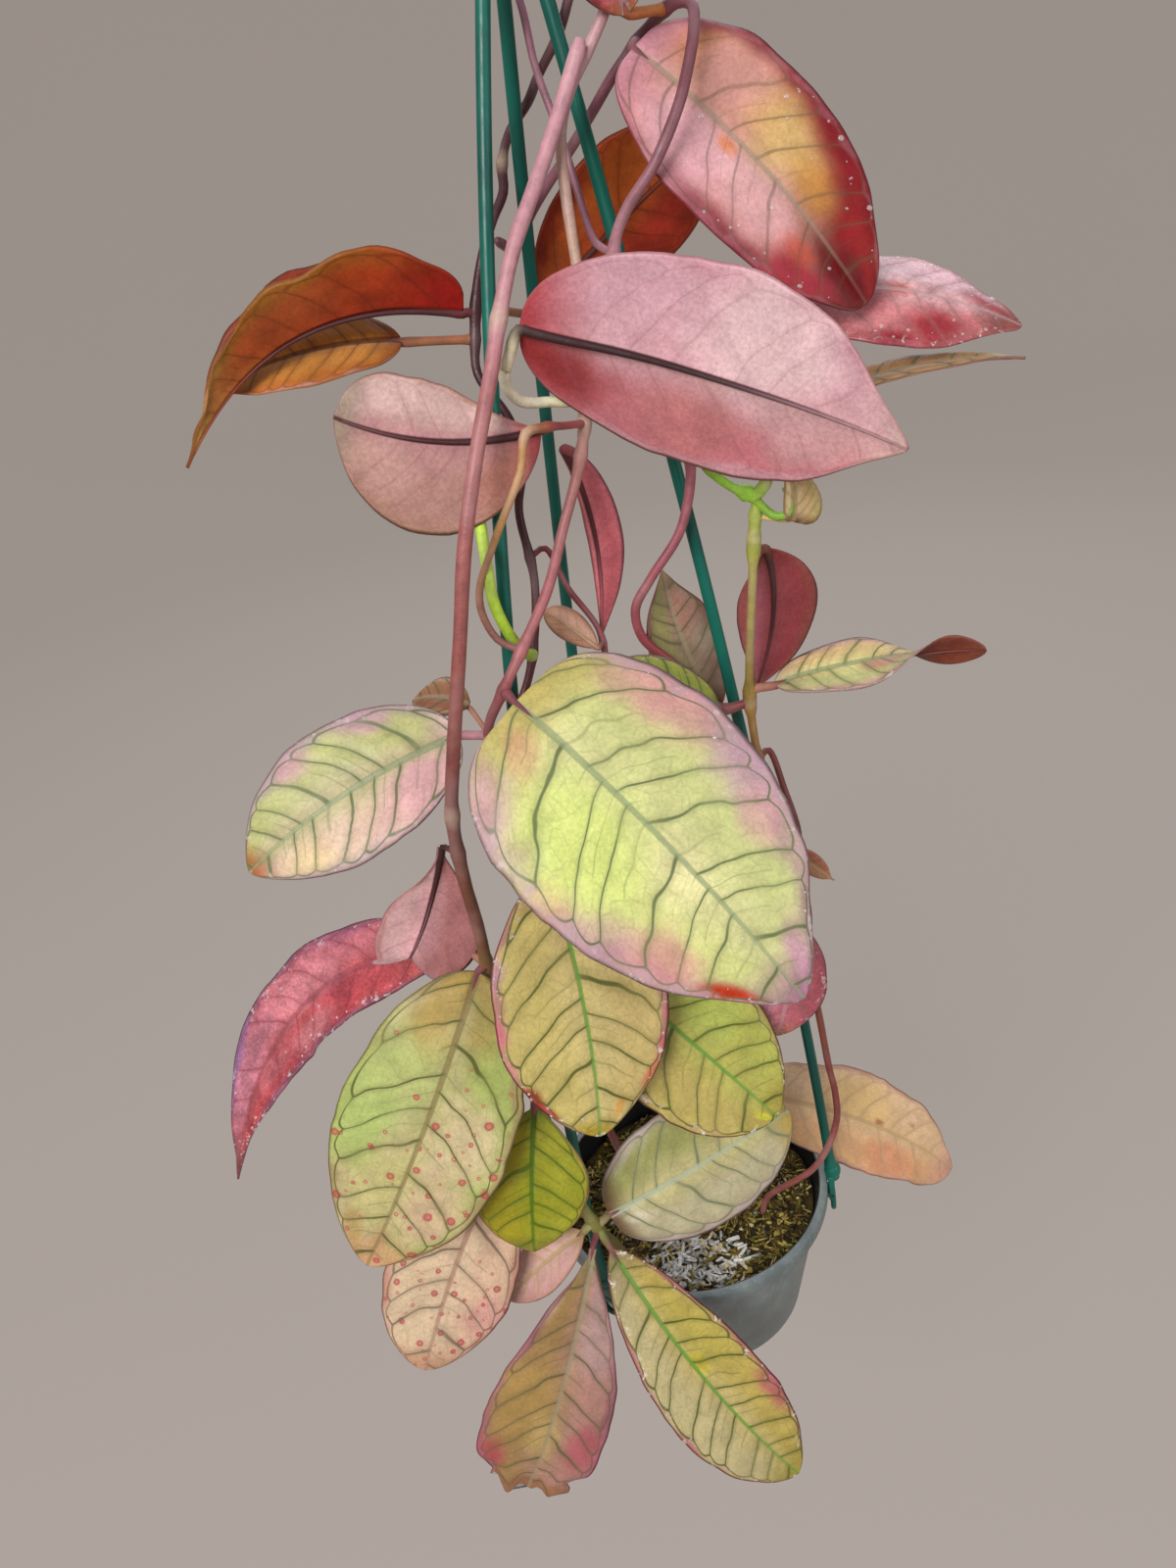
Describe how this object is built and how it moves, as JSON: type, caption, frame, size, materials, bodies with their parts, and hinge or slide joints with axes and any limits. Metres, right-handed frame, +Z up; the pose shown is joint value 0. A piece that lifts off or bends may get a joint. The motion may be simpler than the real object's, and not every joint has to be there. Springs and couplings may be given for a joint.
{
  "type": "potted hoya in a hanging pot",
  "caption": "Wax-flower vine with broad mottled pink and green leaves on twining stems, growing in a small round plastic pot that hangs from a hooked plastic hanger.",
  "frame": {"origin": "the inside of the hook's top, where the rail that carries the hanger touches it", "axes": "+Z up along the hanger, front of the plant towards -Y, +X to the viewer's right from the front"},
  "size_m": [0.2921, 0.163, 0.6116],
  "materials": {
    "pot_plastic": "matte grey moulded plastic, black inside",
    "potting_mix": "coarse bark and coir chips",
    "hanger_plastic": "glossy teal green moulded plastic",
    "stem_rose": "waxy rose-brown bark",
    "stem_mauve": "waxy mauve bark",
    "stem_maroon": "dark maroon bark",
    "stem_tan": "rough tan bark",
    "stem_green": "smooth young green shoot",
    "stem_cream": "cream-white shoot",
    "leaf_pink": "waxy satin leaf, pink",
    "leaf_underside": "matt dusty pink leaf underside with a dark midrib",
    "leaf_tan": "waxy satin leaf, tan",
    "leaf_rust": "waxy satin leaf, rust red",
    "leaf_ochre": "waxy satin leaf, ochre",
    "leaf_maroon": "waxy satin leaf, maroon",
    "leaf_green": "waxy satin leaf, yellow-green with pink margins",
    "leaf_crimson": "wet glossy crimson leaf",
    "leaf_cream": "waxy satin leaf, cream",
    "leaf_olive": "waxy satin leaf, olive green",
    "leaf_salmon": "waxy satin leaf, salmon"
  },
  "bodies": {
    "root": {"pot": "pot_plastic", "potting_mix": "potting_mix", "hanger_hook": "hanger_plastic", "strand_front_left": "hanger_plastic", "strand_back": "hanger_plastic", "strand_right": "hanger_plastic", "stem_front": "stem_rose", "stem_rose": "stem_rose", "stem_mauve": "stem_mauve", "stem_maroon": "stem_maroon", "stem_thin_mauve": "stem_mauve", "stem_tan": "stem_tan", "stem_crimson": "stem_maroon", "stem_ochre": "stem_tan", "stem_twin": "stem_maroon", "stem_chartreuse": "stem_green", "stem_stub": "stem_cream", "stem_lime": "stem_green", "stem_back": "stem_tan", "leaf_top_crimson": "leaf_pink", "leaf_raised_pink": "leaf_underside", "leaf_right_wet": "leaf_pink", "leaf_right_thin": "leaf_tan", "leaf_back_orange": "leaf_rust", "leaf_left_rust": "leaf_rust", "leaf_left_ochre": "leaf_ochre", "leaf_left_dusky": "leaf_underside", "leaf_narrow_rose": "leaf_maroon", "leaf_pale_back": "leaf_tan", "leaf_maroon": "leaf_maroon", "leaf_twisted": "leaf_green", "leaf_large_front": "leaf_green", "leaf_left_two_tone": "leaf_green", "leaf_hanging_dusky": "leaf_underside", "leaf_left_crimson": "leaf_crimson", "leaf_spotted": "leaf_green", "leaf_tan_green": "leaf_tan", "leaf_olive_right": "leaf_green", "leaf_cream_low": "leaf_cream", "leaf_green_small": "leaf_olive", "leaf_spotted_pale": "leaf_cream", "leaf_pink_low": "leaf_pink", "leaf_ragged": "leaf_tan", "leaf_low_right": "leaf_olive", "leaf_salmon": "leaf_salmon", "leaf_pink_behind": "leaf_maroon", "leaf_young_pointed": "leaf_rust", "leaf_young_edge": "leaf_olive", "leaf_young_folded": "leaf_salmon", "leaf_green_behind": "leaf_olive", "leaf_brown_behind": "leaf_tan", "leaf_top_young": "leaf_crimson"}
  },
  "joints": []
}
